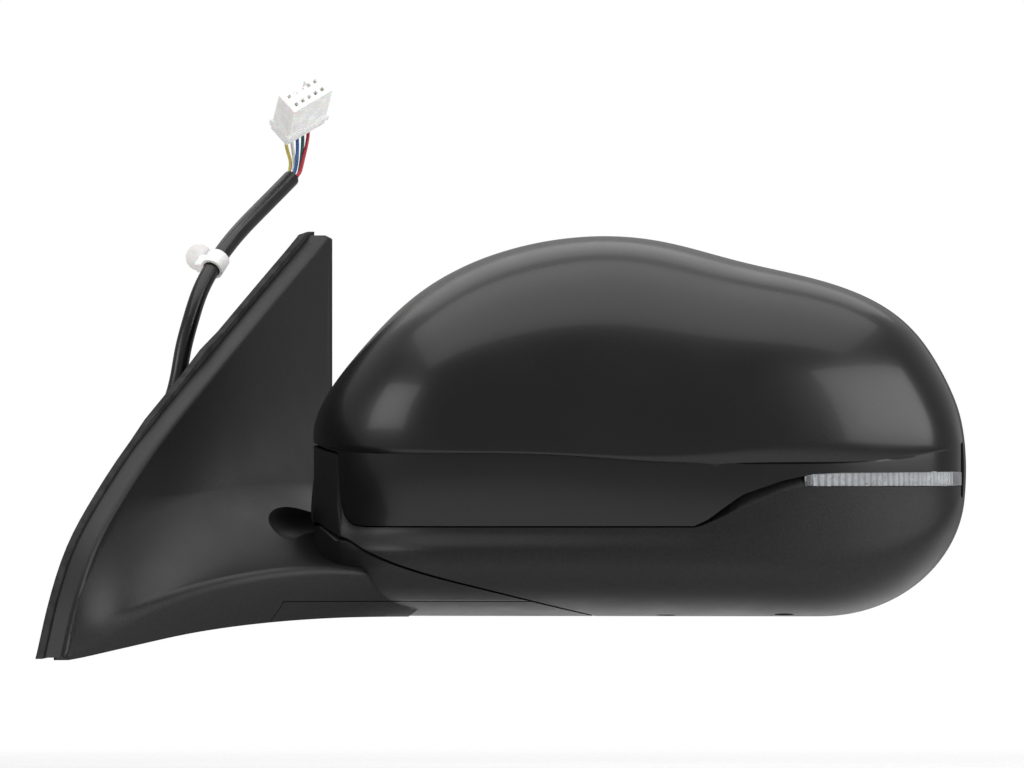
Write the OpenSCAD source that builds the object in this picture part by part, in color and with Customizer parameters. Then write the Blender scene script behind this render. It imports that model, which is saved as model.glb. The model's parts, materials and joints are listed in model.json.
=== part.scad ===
// Left exterior mirror of a car: a folding head on a swept arm, with a door corner cover.
// Frame: the origin is the axis of the lower rear stud on the door face, x points away
// from the door, y to the rear of the car, z up. All sizes are in millimetres.

/* [Head] */
// Sweep of the head's long axis towards the rear, in degrees
head_sweep = 20; // [18:0.5:22]
// Wall of the head's and the arm's mouldings
wall = 2.5; // [2:0.1:3]
// Parting gap between the head and the arm's foot
parting = 1.2; // [1:0.1:1.6]

/* [Folding pivot] */
// Radius of the hollow pivot post
post_r = 8; // [7.5:0.1:8.5]
// Radial play of the head frame's hub on the post
hub_play = 0.05; // [0.03:0.01:0.1]
// Turns of the detent spring
spring_turns = 5; // [4:1:6]

/* [Mirror glass] */
// Thickness of the mirror glass
glass_t = 2.2; // [1.8:0.1:2.6]
// Gap between the glass and the bezel
glass_gap = 3; // [2.5:0.1:4]

/* [Door mounting] */
// Radius of the three mounting studs
stud_r = 3; // [2.5:0.5:3]
// How far the studs stand out of the door face
stud_reach = 22; // [15:1:28]
// Thickness of the foam gasket
gasket_t = 3; // [2:0.5:3]

/* [Hidden] */
$fn = 48;

// ---- curves --------------------------------------------------------------------------
// Control values with one mirrored value added at each end, so a curve reaches its ends
function padded(c) =
    let (n = len(c) - 1) concat([2*c[0] - c[1]], c, [2*c[n] - c[n - 1]]);
// Uniform cubic B-spline through a list of numbers or points, for t from 0 to 1
function spline(c, t) =
    let (
        p = padded(c), n = len(p) - 3, s = min(max(t, 0), 1)*n,
        i = min(floor(s), n - 1), f = s - i
    )
    (pow(1 - f, 3)*p[i] + (3*pow(f, 3) - 6*f*f + 4)*p[i + 1]
        + (-3*pow(f, 3) + 3*f*f + 3*f + 1)*p[i + 2] + pow(f, 3)*p[i + 3])/6;
// 1 up to x = 0, then a rounded fall to 0 at x = 1
function round_off(x) = x <= 0 ? 1 : pow(max(0, 1 - pow(min(x, 1), 2.5)), 0.4);
function mix(a, b, t) = a + (b - a)*t;

// ---- the head's form, in its own frame: u outboard, w forward, z up, pivot at u = w = 0
pivot = [64, -22, 0];
u0 = -27;
u1 = 224;
rim_w = -26;
seam_z = -2;
floor_z = -37;
head_mid = [100, rim_w, 22];
// Top outline, as (u, z)
top_net = [
    [-27, 30], [-26.5, 38], [-21, 51], [-5, 70], [14, 90], [42, 104], [76, 110.5],
    [106, 108.5], [136, 99], [166, 93.5], [190, 85], [206, 72.5], [216.5, 55],
    [222.5, 41], [224, 29]
];
// Height of the crease that runs along the cap, evenly spaced from u0 to u1
crease_net = [31, 26, 26, 26, 26, 25, 23, 22, 22, 22, 23, 28];
// Depth of the head in front of the rim plane, evenly spaced from u0 to u1
depth_net = [80, 81, 82, 81, 78, 73, 68, 62, 56, 50, 44];
// Height of the rolled lip above the crease, evenly spaced from u0 to u1
lip_net = [2, 3, 2, 1, 1, 1, 2, 4, 8, 9, 6, 1];
// The cap's lower edge and the lower cover's upper edge, as (u, z)
cap_edge_pts = [
    [-27, 30.6], [-9, 26], [-8.4, 6], [-6.5, 1], [-3, -1.4], [2, seam_z], [130, seam_z],
    [135, 0.5], [148, 10], [163, 15.4], [174, 17.9], [182, 18.4], [u1, 18.8]
];
cover_edge_pts = [
    [-27, 28.8], [-9, 25.2], [-8.4, 5.4], [-6.5, 0.4], [-3, -2], [2, seam_z - 0.6],
    [131, seam_z - 0.6], [166, 12.4], [170, 13], [u1, 13]
];
top_table = [for (i = [0:160]) spline(top_net, i/160)];

function along(u) = (u - u0)/(u1 - u0);
function top_z(u) = lookup(u, top_table);
function crease_z(u) = spline(crease_net, along(u));
function depth(u) =
    spline(depth_net, along(u))*round_off((50 - u)/(50 - u0))*round_off((u - 128)/(u1 - 128));
function bottom_z(u) =
    u < 168 ? floor_z : 12 - (12 - floor_z)*sqrt(max(0, 1 - pow((u - 168)/(u1 - 168), 2)));
// Front surface below the crease: set back, then turning under
function face_w(u, z) =
    rim_w + depth(u)*(1 - (2.2 + 0.0055*pow(max(crease_z(u) - z, 0), 2))/80);

// Cap section as (w, z), from the rim over the front to the crease, the lip and the lower edge
function cap_section(u, zt, na, nb) =
    let (d = depth(u), zc = min(crease_z(u), zt - 0.4), lip = min(spline(lip_net, along(u)),
        (zt - zc)*0.3), zf = zc + lip, ze = min(lookup(u, cap_edge_pts), zc - 0.4))
    concat(
        [for (j = [0:na]) let (a = 90*j/na)
            [rim_w + d*pow(sin(a), 0.9), zf + (zt - zf)*pow(cos(a), 0.9)]],
        [for (j = [1:2]) let (a = 60*j/2)
            [rim_w + d - 0.4*lip*(1 - cos(a))*2*d/80, zf - lip*sin(a)/sin(60)]],
        [for (j = [0:nb]) let (z = mix(zc - 0.3, ze, j/nb)) [face_w(u, z), z]]
    );
// Lower cover section as (w, z): the flange behind the cap's edge, the upper edge, the ridge
// and the underside back to the rim plane
function cover_section(u, na, nb) =
    let (
        d = depth(u), zb = bottom_z(u), ze = max(lookup(u, cover_edge_pts), zb + 0.6),
        zr = zb + (ze - zb)*25/(min(ze, 13) + 37), wr = rim_w + 0.965*d,
        we = face_w(u, ze) - 0.2
    )
    concat(
        [[we - (u > 128 && u < 171 ? 4 : 0.8)*d/80,
            u > 128 && u < 171 ? lookup(u, cap_edge_pts) + 1 : ze + 0.1]],
        [for (j = [0:na]) let (t = j/na)
            [mix(we, wr, t*t*(3 - 2*t)), mix(ze, zr, t)]],
        [for (j = [1:nb]) let (a = 90*j/nb)
            [rim_w + (wr - rim_w)*pow(cos(a), 0.77), zr - (zr - zb)*pow(sin(a), 0.77)]]
    );
// Rows of points in the head's frame (y runs to the rear, so it is -w)
function rows(stations, sections) =
    [for (i = [0:len(stations) - 1]) [for (p = sections[i]) [stations[i], -p[0], p[1]]]];
// The same rows drawn in towards a middle point by about one wall
function shrunk(r, mid, t) =
    let (k = [1 - t/128, 1 - t/80, 1 - t/60])
    [for (row = r) [for (p = row)
        [mid[0] + (p[0] - mid[0])*k[0], -mid[1] + (p[1] + mid[1])*k[1],
         mid[2] + (p[2] - mid[2])*k[2]]]];

// ---- solids from grids of points ------------------------------------------------------
function quad(a, b, c, d) = [[a, c, b], [a, d, c]];
function flat_list(l) = [for (a = l) for (b = a) b];
// A wall between two grids of the same size, closed around its four borders
module skin(outer, inner) {
    n = len(outer);
    m = len(outer[0]);
    function o(i, j) = i*m + j;
    function q(i, j) = n*m + i*m + j;
    faces = flat_list(concat(
        [for (i = [0:n - 2]) for (j = [0:m - 2])
            quad(o(i, j), o(i, j + 1), o(i + 1, j + 1), o(i + 1, j))],
        [for (i = [0:n - 2]) for (j = [0:m - 2])
            quad(q(i, j), q(i + 1, j), q(i + 1, j + 1), q(i, j + 1))],
        [for (i = [0:n - 2]) quad(o(i, 0), o(i + 1, 0), q(i + 1, 0), q(i, 0))],
        [for (i = [0:n - 2]) quad(o(i + 1, m - 1), o(i, m - 1), q(i, m - 1), q(i + 1, m - 1))],
        [for (j = [0:m - 2]) quad(o(0, j + 1), o(0, j), q(0, j), q(0, j + 1))],
        [for (j = [0:m - 2]) quad(o(n - 1, j), o(n - 1, j + 1), q(n - 1, j + 1), q(n - 1, j))]
    ));
    polyhedron(flat_list(concat(outer, inner)), faces, convexity = 8);
}
// A solid through closed rings with the same number of points, its ends closed by fans
module loft(rings) {
    n = len(rings);
    m = len(rings[0]);
    sides = flat_list([for (i = [0:n - 2]) for (j = [0:m - 1])
        quad(i*m + j, i*m + (j + 1)%m, (i + 1)*m + (j + 1)%m, (i + 1)*m + j)]);
    ends = concat([for (j = [1:m - 2]) [0, j, j + 1]],
        [for (j = [1:m - 2]) [(n - 1)*m, (n - 1)*m + j + 1, (n - 1)*m + j]]);
    polyhedron(flat_list(rings), concat(sides, ends), convexity = 8);
}
// A round tube along a list of points
function unit(v) = v/norm(v);
tube_side = [0.7, -0.5, 0.5];
function tangent(pts, i) = unit(pts[min(i + 1, len(pts) - 1)] - pts[max(i - 1, 0)]);
module tube(pts, r, sides) {
    loft([for (i = [0:len(pts) - 1])
        let (t = tangent(pts, i), n = unit(cross(t, tube_side)), b = cross(t, n))
        [for (k = [0:sides - 1]) pts[i] + r*(n*cos(360*k/sides) + b*sin(360*k/sides))]]);
}
// Slabs in the door plane (y, z) and in the mirror plane (u, z)
module door_slab(x_from, x_to) translate([x_from, 0, 0]) rotate([90, 0, 90])
    linear_extrude(x_to - x_from) children();
module glass_slab(y_from, y_to) translate([0, y_to, 0]) rotate([90, 0, 0])
    linear_extrude(y_to - y_from) children();
module along_x(p, r, l) translate(p) rotate([0, 90, 0]) cylinder(r = r, h = l);
module along_y(p, r, l) translate(p) rotate([-90, 0, 0]) cylinder(r = r, h = l);
module at_head() translate(pivot) rotate([0, 0, head_sweep]) children();

// ---- head: shells ---------------------------------------------------------------------
head_us = [for (i = [0:36]) spline(top_net, 0.006 + 0.988*i/36)];
head_stations = [for (p = head_us) p[0]];
cap_rows = rows(head_stations, [for (p = head_us) cap_section(p[0], p[1], 9, 4)]);
cover_sections = [for (p = head_us) cover_section(p[0], 4, 7)];
cover_rows = rows(head_stations, cover_sections);
// The space below the cap, as closed rings that reach the rim plane
cover_rings = rows(head_stations, [for (s = cover_sections)
    concat([for (j = [1:len(s) - 1]) s[j]], [[rim_w, s[1][1]]])]);
inner_rings = shrunk(cover_rings, head_mid, wall);

// The parting between head and foot: a cone about the pivot with a flat middle
flat_r = 25;
cone_top = -1.5;
cone_slope = 0.6;
cone_reach = 90;
function cone_z(r) = cone_top - cone_slope*max(0, r - flat_r);
// Everything under the parting, raised by h
module below_parting(h) rotate_extrude($fn = 96)
    polygon([[0, -60], [cone_reach, -60], [cone_reach, cone_z(cone_reach) + h],
        [flat_r, cone_top + h], [0, cone_top + h]]);

// Everything above the parting around the pivot, with the concave seat's wall
seat_r = 41.5;
seat_round = 10;
seat_sides = 80;
module seat_space(h) rotate_extrude($fn = seat_sides)
    polygon(concat([[0, 140], [0, cone_top - h], [flat_r, cone_top - h]],
        [for (a = [0:15:90]) [seat_r + h - seat_round*(1 - sin(a)),
            cone_z(seat_r - seat_round*0.7) - h + seat_round*(1 - cos(a))]],
        [[seat_r + h, 140]]));
// What is cut off the bezel's inner end so that it turns inside the arm's seat
module seat_trim() difference() {
    union() {
        translate([-60, 0, -60]) cube([60, 60, 200]);
        translate([0, 0, -60]) cylinder(r = seat_r + 1, h = 64);
    }
    seat_space(-parting/2);
}

module upper_cap() color([0.02, 0.02, 0.022])
    at_head() skin(cap_rows, shrunk(cap_rows, head_mid, wall));

cover_screw_us = [112, 158];
cover_screw_y = 4;
cover_boss_z = -29;
module lower_cover() color([0.05, 0.05, 0.055]) at_head() difference() {
    union() {
        skin(cover_rows, shrunk(cover_rows, head_mid, wall));
        for (u = cover_screw_us) translate([u, cover_screw_y, floor_z + 1])
            cylinder(r = 6, h = cover_boss_z - floor_z - 1);
    }
    below_parting(parting/2);
    for (u = cover_screw_us) translate([u, cover_screw_y, floor_z - 1]) {
        cylinder(r = 3.8, h = 5);
        cylinder(r = 1.8, h = 30);
    }
}
hub_flange_r = 19;
// The skirt ends here, so that the tilted glass clears it
skirt_end = 8;
module pivot_skirt() color([0.05, 0.05, 0.055]) at_head() difference() {
    intersection() {
        loft([for (i = [0:26]) inner_rings[i]]);
        difference() {
            below_parting(parting/2 + wall);
            below_parting(parting/2);
        }
    }
    translate([0, 0, -60]) cylinder(r = hub_flange_r + 1.5, h = 100);
    translate([-60, skirt_end, -60]) cube([200, 60, 100]);
}

// ---- head: glass and bezel ------------------------------------------------------------
glass_mid = [112, 33];
glass_half = 102;
rim_y = -rim_w;
bezel_y = 36;
// Lowest height of the opening over the parting, where the bezel keeps a rim of its own
bezel_rim = 8;
function low_edge(u) = cone_z(norm([u, bezel_y])) + parting/2 + bezel_rim;
// Outline of the glass opening drawn in by d, as (u, z)
function glass_outline(d, n) = [for (i = [0:n - 1])
    let (a = 360*i/n, c = cos(a), s = sin(a), x = sign(c)*pow(abs(c), 0.6),
        y = sign(s)*pow(abs(s), 0.6), u = glass_mid[0] + (glass_half - d)*x,
        reach = s > 0 ? top_z(u) - 8 - glass_mid[1] : min(60, glass_mid[1] - low_edge(u)))
    [u, glass_mid[1] + y*(reach - d)]];
rim_outline = concat(
    [for (p = head_us) p],
    [for (i = [len(head_us) - 1:-1:0]) [head_us[i][0], bottom_z(head_us[i][0])]]
);
module glass_bezel() color([0.05, 0.05, 0.055]) at_head() difference() {
    glass_slab(rim_y + 0.2, bezel_y) polygon(rim_outline);
    glass_slab(rim_y, bezel_y + 1) polygon(glass_outline(0, 72));
    below_parting(parting/2);
    seat_trim();
}
glass_y = bezel_y - 1 - glass_t;
pad_y = glass_y - 0.6;
holder_y = pad_y - 2.6;
tilt_y = 23;
ear_at = 15;
ear_w = 3;
ear_pin_r = 1.5;
ear_bore_r = ear_pin_r + 0.05;
screw_at = 28;
screw_places = [[glass_mid[0], glass_mid[1] + screw_at], [glass_mid[0] + screw_at, glass_mid[1]]];
module mirror_glass() color([0.75, 0.78, 0.8]) at_head()
    glass_slab(glass_y, glass_y + glass_t) polygon(glass_outline(glass_gap, 72));
module heater_pad() color([0.2, 0.2, 0.2]) at_head()
    glass_slab(pad_y, glass_y) polygon(glass_outline(glass_gap + 6, 48));
module glass_holder() color([0.08, 0.08, 0.08]) at_head() difference() {
    union() {
        glass_slab(holder_y, pad_y) polygon(glass_outline(glass_gap + 3, 48));
        for (side = [-1, 1]) translate([glass_mid[0] - 4, tilt_y - 3,
            glass_mid[1] + side*(ear_at + ear_w/2) - ear_w/2])
            cube([8, holder_y - tilt_y + 3, ear_w]);
        for (p = screw_places) along_y([p[0], tilt_y - 1, p[1]], 6.5, holder_y - tilt_y + 1);
    }
    translate([glass_mid[0], tilt_y, glass_mid[1] - 30]) cylinder(r = ear_bore_r, h = 60);
    for (p = screw_places) along_y([p[0], tilt_y - 2, p[1]], 4.3, 7.5);
}
module gimbal_ring() color([0.85, 0.85, 0.82]) at_head() {
    difference() {
        along_y([glass_mid[0], tilt_y - 2, glass_mid[1]], 12, 4);
        along_y([glass_mid[0], tilt_y - 3, glass_mid[1]], 8.5, 6);
    }
    for (side = [-1, 1]) {
        translate([glass_mid[0], tilt_y, glass_mid[1] + side*14.5])
            cylinder(r = ear_pin_r, h = 7, center = true);
        translate([glass_mid[0] + side*14.5, tilt_y, glass_mid[1]]) rotate([0, 90, 0])
            cylinder(r = ear_pin_r, h = 7, center = true);
    }
}
rod_r = 2.4;
ball_r = 3;
module jackscrew(p) color([0.9, 0.9, 0.88]) at_head() {
    along_y([p[0], 6.5, p[1]], rod_r, 18.5);
    translate([p[0], tilt_y + 2, p[1]]) sphere(r = ball_r);
}
module vertical_jackscrew() jackscrew(screw_places[0]);
module horizontal_jackscrew() jackscrew(screw_places[1]);

// ---- head: actuator and frame ---------------------------------------------------------
unit_r = 38;
unit_y = -2;
unit_split_y = 11;
unit_top_y = 13.5;
frame_y = -6;
fix_places = [for (a = [45, 165, 285])
    [glass_mid[0] + 32.5*cos(a), glass_mid[1] + 32.5*sin(a)]];
module actuator_base() color([0.12, 0.12, 0.12]) at_head() difference() {
    along_y([glass_mid[0], unit_y, glass_mid[1]], unit_r, unit_split_y - unit_y);
    difference() {
        along_y([glass_mid[0], unit_y + 2, glass_mid[1]], unit_r - 2.2, 20);
        for (p = fix_places) along_y([p[0], unit_y, p[1]], 4.2, 20);
    }
    for (p = fix_places) along_y([p[0], unit_y - 1, p[1]], 1.8, 20);
}
module actuator_cover() color([0.12, 0.12, 0.12]) at_head() difference() {
    union() {
        along_y([glass_mid[0], unit_split_y, glass_mid[1]], unit_r, unit_top_y - unit_split_y);
        for (side = [-1, 1]) translate([glass_mid[0] + side*(ear_at + ear_w/2) - ear_w/2,
            unit_top_y - 0.5, glass_mid[1] - 4]) cube([ear_w, tilt_y + 3.5 - unit_top_y, 8]);
    }
    translate([glass_mid[0] - 30, tilt_y, glass_mid[1]]) rotate([0, 90, 0])
        cylinder(r = ear_bore_r, h = 60);
    for (p = fix_places) along_y([p[0], unit_y - 1, p[1]], 1.8, 20);
    for (p = screw_places) along_y([p[0], unit_y, p[1]], rod_r + 0.05, 20);
}
module tilt_motor(p, turn) color([0.6, 0.6, 0.62]) at_head()
    translate([p[0], 5.5, p[1]]) rotate([0, turn, 0]) {
        cylinder(r = 4.7, h = 17, center = true);
        translate([0, 0, 8]) cylinder(r = 1.2, h = 7);
    }
module vertical_tilt_motor() tilt_motor([glass_mid[0] - 12, glass_mid[1] - 3], 0);
module horizontal_tilt_motor() tilt_motor([glass_mid[0] + 6, glass_mid[1] - 20], 90);
module actuator_screws() color([0.7, 0.7, 0.7]) at_head() for (p = fix_places) {
    along_y([p[0], frame_y + 1, p[1]], 1.8, unit_top_y - frame_y - 1);
    along_y([p[0], unit_top_y, p[1]], 3.2, 2);
}
hub_r = 13;
hub_low = 2;
hub_top = 18;
module head_frame() color([0.1, 0.1, 0.1]) at_head() difference() {
    union() {
        along_y([glass_mid[0], frame_y, glass_mid[1]], unit_r + 3, unit_y - frame_y);
        hull() {
            translate([0, 0, hub_low]) cylinder(r = hub_r, h = hub_top - hub_low, $fn = 32);
            translate([72, frame_y, 8]) cube([2, unit_y - frame_y, 40]);
        }
        translate([0, 0, hub_low]) cylinder(r = hub_flange_r, h = 4);
        for (u = cover_screw_us) hull() {
            translate([u, cover_screw_y, cover_boss_z]) cylinder(r = 4, h = 4, $fn = 32);
            translate([u - 6, frame_y, -11]) cube([12, unit_y - frame_y, 4]);
        }
        translate([148, frame_y, -8]) cube([36, unit_y - frame_y, 56]);
    }
    translate([0, 0, -10]) cylinder(r = post_r + hub_play, h = 60);
    translate([0, 0, hub_top]) cylinder(r = hub_r + 0.8, h = 40);
    for (p = fix_places) along_y([p[0], frame_y - 1, p[1]], 1.8, 20);
    for (u = cover_screw_us) translate([u, cover_screw_y, -40]) cylinder(r = 1.6, h = 24);
    along_y([glass_mid[0], frame_y - 1, glass_mid[1]], 18, 20);
    along_y([170, frame_y - 1, 30], 8, 20);
}
module cover_screws() color([0.6, 0.6, 0.6]) at_head() for (u = cover_screw_us)
    translate([u, cover_screw_y, 0]) {
        translate([0, 0, floor_z + 1.5]) cylinder(r = 3.4, h = 2.5);
        translate([0, 0, floor_z + 4]) cylinder(r = 1.6, h = 15);
    }

// ---- head: turn signal ----------------------------------------------------------------
// A strip between the cap's lower edge and the lower cover, set back by d from the face
lens_from = 172;
lens_to = 221.5;
function strip(from, to, z_low, z_high, d, n) = [for (i = [0:n])
    let (u = mix(from, to, 1 - pow(1 - i/n, 1.6)),
        z_cap = min(z_high, lookup(u, cap_edge_pts) - 0.5))
    [for (j = [0:3]) let (z = mix(z_cap, z_low, j/3)) [u, d - face_w(u, z), z]]];
module turn_signal_lens() color([0.85, 0.87, 0.9, 0.6]) at_head()
    skin(strip(lens_from, lens_to, 13.8, 18, 0.2, 20),
        strip(lens_from, lens_to, 13.9, 17.8, 2.2, 20));
module turn_signal_reflector() color([0.9, 0.9, 0.92]) at_head()
    skin(strip(lens_from + 1, 217, 13.6, 17.8, 5, 16),
        strip(lens_from + 1, 217, 13.6, 17.8, 6.4, 16));
module turn_signal_board() color([0.1, 0.35, 0.15]) at_head()
    skin(strip(lens_from + 2, 212, 13.2, 18.2, 7, 12),
        strip(lens_from + 2, 212, 13.2, 18.2, 8.4, 12));

// ---- pivot ----------------------------------------------------------------------------
boss_r = 19.6;
boss_top = -6;
post_low = -18;
post_top = 44;
ring_r = 18.5;
ring_mid = -2;
// Folding range, forwards and to the rear, between the stops of the detent rings
fold_front = 30;
fold_rear = 50;
lug_half = 3;
module ring_sector(r1, r2, from, angle, z, h) translate([0, 0, z])
    rotate_extrude(angle = angle, start = from) translate([r1, 0]) square([r2 - r1, h]);
module pivot_post() color([0.65, 0.65, 0.68]) translate(pivot) difference() {
    translate([0, 0, post_low]) cylinder(r = post_r, h = post_top - post_low);
    translate([0, 0, post_low - 1]) cylinder(r = 5, h = post_top - post_low + 2);
}
module lower_detent_ring() color([0.5, 0.5, 0.52]) translate(pivot) difference() {
    translate([0, 0, boss_top]) cylinder(r = ring_r, h = ring_mid - boss_top);
    translate([0, 0, boss_top - 1]) cylinder(r = post_r, h = 10);
    for (side = [0, 180])
        ring_sector(12, 16, side + head_sweep - fold_front - lug_half - 1,
            fold_front + fold_rear + 2*lug_half + 2, ring_mid - 2, 3);
}
module upper_detent_ring() color([0.5, 0.5, 0.52]) at_head() {
    difference() {
        translate([0, 0, ring_mid + 0.1]) cylinder(r = ring_r, h = hub_low - ring_mid - 0.1);
        translate([0, 0, -10]) cylinder(r = post_r + 0.1, h = 20);
    }
    for (side = [0, 180]) ring_sector(12.4, 15.6, side - lug_half, 2*lug_half, ring_mid - 1.6, 1.8);
}
spring_low = hub_top + 0.3;
spring_high = 38;
wire_r = 1.3;
coil_r = post_r + 2.4;
module pivot_spring() color([0.5, 0.5, 0.5]) translate(pivot)
    coil([for (i = [0:18*spring_turns]) let (a = 20*i, t = i/(18*spring_turns))
        [coil_r*cos(a), coil_r*sin(a), mix(spring_low + wire_r, spring_high - wire_r, t)]]);
module coil(pts)
    loft([for (p = pts) let (n = unit([p[0], p[1], 0]))
        [for (k = [0:7]) p + wire_r*(n*cos(45*k) - [0, 0, 1]*sin(45*k))]]);
module spring_retainer() color([0.55, 0.55, 0.55]) translate(pivot) difference() {
    translate([0, 0, spring_high]) cylinder(r = 12.4, h = 2.5);
    translate([0, 0, spring_high - 1]) cylinder(r = post_r, h = 5);
}

// ---- base: sail and arm ---------------------------------------------------------------
sail_x = 12;
// Front edge of the sail from the apex to the front tip, as (y, z)
sail_edge_net = [
    [30, 110], [20, 103.5], [-7, 87.5], [-33, 71.5], [-72, 48], [-105, 27], [-126, 10],
    [-140, -2], [-151, -14], [-161, -31], [-167, -45], [-170, -52]
];
// Bottom edge from the tip to the rear, as (y, z)
sail_bottom = [[-150, -50.5], [-116, -47.5], [-80, -42], [-28, -37.7], [34, floor_z]];
sail_outline = concat([[34, 109]], [for (i = [0:28]) spline(sail_edge_net, i/28)], sail_bottom);
// The crease where the arm leaves the sail, as (y, z) on the sail's face
crease_line = [
    [-166, -48], [-162, -33], [-151, -19], [-130, -7], [-102, 3], [-72, 9.5], [-42, 13],
    [-12, 14], [30, 14]
];
// The arm's lower ridge, from the front tip to inside the foot
ridge_line = [
    [9, -160, -50], [13, -154, -45], [19, -146, -39], [28, -133, -31], [40, -117, -24],
    [54, -98, -19], [68, -76, -16.5], [84, -57, -18], [98, -38, -24]
];
bottom_line = [-53, -52, -50, -47, -43, -40, -38, floor_z, floor_z];
sag_end = 0.85;
arm_steps = 23;
arm_hollow = 0.83;
// One closed ring of the arm, drawn in by d
function arm_ring(a, d) =
    let (c = spline(crease_line, a), r0 = spline(ridge_line, a), b = spline(bottom_line, a) + d,
        r = [r0[0] - 0.8*d, r0[1] + 0.9*d, max(r0[2] - 0.5*d, b + 1)],
        e = [5, c[0], c[1] - 1.3*d], f = [sail_x - d, c[0], c[1] - 1.3*d],
        g = [5 + (r[0] - 5)*0.84, mix(r[1], c[0], 0.1), b])
    concat([e, f],
        [for (t = [0.15, 0.35, 0.6, 0.8])
            [mix(f[0], r[0], t), mix(f[1], r[1], t), mix(r[2], f[2], pow(1 - t, 1 + 1.3*min(a, sag_end)))]],
        [for (t = [0, 0.35, 0.7]) [mix(r[0], g[0], pow(t, 2)), mix(r[1], g[1], pow(t, 2)),
            mix(r[2], g[2], t)]],
        [g, [5, c[0], b]]);
module above_seat(h) translate(pivot) seat_space(h);
module base_outer() {
    door_slab(gasket_t, sail_x - 1.5) polygon(sail_outline);
    door_slab(sail_x - 1.5, sail_x) offset(delta = -1.5) polygon(sail_outline);
    loft([for (i = [0:arm_steps]) arm_ring(i/arm_steps, 0)]);
    at_head() intersection() {
        loft([for (i = [0:24]) cover_rings[i]]);
        below_parting(-parting/2);
    }
}
// A solid rib under the seat, where the cavities of the arm and the foot meet
seat_rib = [37.5, -7.5, -15];
module base_inner() difference() {
    union() {
        door_slab(gasket_t - 1, sail_x - wall) offset(delta = -wall) polygon(sail_outline);
        loft([for (i = [0:16]) arm_ring(0.12 + arm_hollow*i/16, wall)]);
        at_head() intersection() {
            loft([for (i = [0:24]) inner_rings[i]]);
            below_parting(-parting/2 - wall);
            translate([-60, -100, -60]) cube([200, 100 + rim_y - wall, 60]);
        }
    }
    above_seat(parting/2 + wall);
    translate(seat_rib) cylinder(r = 6.5, h = 12);
}
module base_shell() difference() {
    base_outer();
    base_inner();
    above_seat(parting/2 + 0.1);
    translate(pivot) translate([0, 0, -10]) cylinder(r = ring_r + 0.6, h = 30);
}
under_z = -31;
module under_region(gap) translate([sail_x + 1 + gap, -84 + gap, -70])
    cube([160, 140, 70 + under_z - gap]);
// Both mouldings come from one shell, meshed in one go
module sail_cover() color([0.05, 0.05, 0.055]) resize([0, 0, 0]) difference() {
    union() {
        base_shell();
        for (p = clip_places) along_x([plate_top, p[0], p[1]], 4, sail_x - wall - plate_top + 1);
    }
    under_region(-0.15);
    for (p = clip_places) along_x([0, p[0], p[1]], 1.7, 9.5);
}
module arm_under_cover() color([0.05, 0.05, 0.055]) resize([0, 0, 0]) intersection() {
    base_shell();
    under_region(0.15);
}

// ---- base: door side ------------------------------------------------------------------
stud_places = [[0, 0], [-90, -5], [12, 62]];
clip_places = [[18, 86], [-42, 42], [-100, 15]];
plate_top = 6.5;
lead_at = [-22, 2];
grommet_r = 8;
function edge_point(i) = spline(sail_edge_net, i/28);
// Points along the sail's front edge, moved out by d (or d + 0.8 on the gasket's upper lip)
function edge_moved(from, to, d, lip) = [for (i = [from:to])
    let (p = edge_point(i), v = unit(edge_point(i - 0.3) - edge_point(i + 0.3)))
    p + [-v[1], v[0]]*(d + (p[1] > 31 ? lip : 0) + (p[1] > 55 && p[1] < 67 ? lip : 0))];
module door_gasket() color([0.12, 0.12, 0.12]) difference() {
    door_slab(0, gasket_t)
        polygon(concat([[34, 111.5]], edge_moved(0.5, 27.5, 1, 0.9), [[-171.5, -52.5]],
            [for (p = sail_bottom) p]));
    for (p = stud_places) along_x([-1, p[0], p[1]], stud_r + 0.7, 10);
    for (p = clip_places) along_x([-1, p[0], p[1]], 4.5, 10);
    along_x([-1, lead_at[0], lead_at[1]], grommet_r + 0.3, 10);
}
module door_studs() color([0.7, 0.7, 0.72]) for (p = stud_places) {
    along_x([-stud_reach, p[0], p[1]], stud_r, stud_reach);
    along_x([0, p[0], p[1]], stud_r + 0.4, plate_top);
    along_x([plate_top, p[0], p[1]], 7, 2.2);
}
module cover_clip_screws() color([0.6, 0.6, 0.6]) for (p = clip_places) {
    along_x([0.8, p[0], p[1]], 3.6, gasket_t - 0.8);
    along_x([gasket_t, p[0], p[1]], 1.7, 6);
}
beam_low = -31;
beam_top = -17;
module mount_bracket() color([0.62, 0.62, 0.64]) difference() {
    union() {
        door_slab(gasket_t, plate_top) polygon(concat([[30.5, 97], [22, 97]],
            edge_moved(4, 25, -3.8, 0),
            [[-152, -46], [-116, -43.4], [-80, -38], [-28, -33.8], [30.5, -33]]));
        translate([pivot[0], pivot[1], beam_low]) cylinder(r = boss_r, h = boss_top - beam_low);
        hull() {
            translate([5, -56, beam_low]) cube([2, 44, beam_top - beam_low]);
            translate([pivot[0], pivot[1], beam_low])
                cylinder(r = boss_r - 4, h = beam_top - beam_low, $fn = 32);
        }
    }
    translate([pivot[0], pivot[1], -70]) cylinder(r = post_r, h = 100);
    translate([pivot[0], pivot[1], -70]) cylinder(r = 15, h = 70 + post_low);
    translate([10, pivot[1] - 4, -40]) cube([pivot[0] - 10, 8, 40 + post_low - 4]);
    translate([10, pivot[1] - 4, -40]) cube([12, 8, 40]);
    for (p = stud_places) along_x([0, p[0], p[1]], stud_r + 0.4, 10);
    for (p = clip_places) along_x([0, p[0], p[1]], 1.7, 10);
    along_x([0, lead_at[0], lead_at[1]], grommet_r, 10);
}

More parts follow.
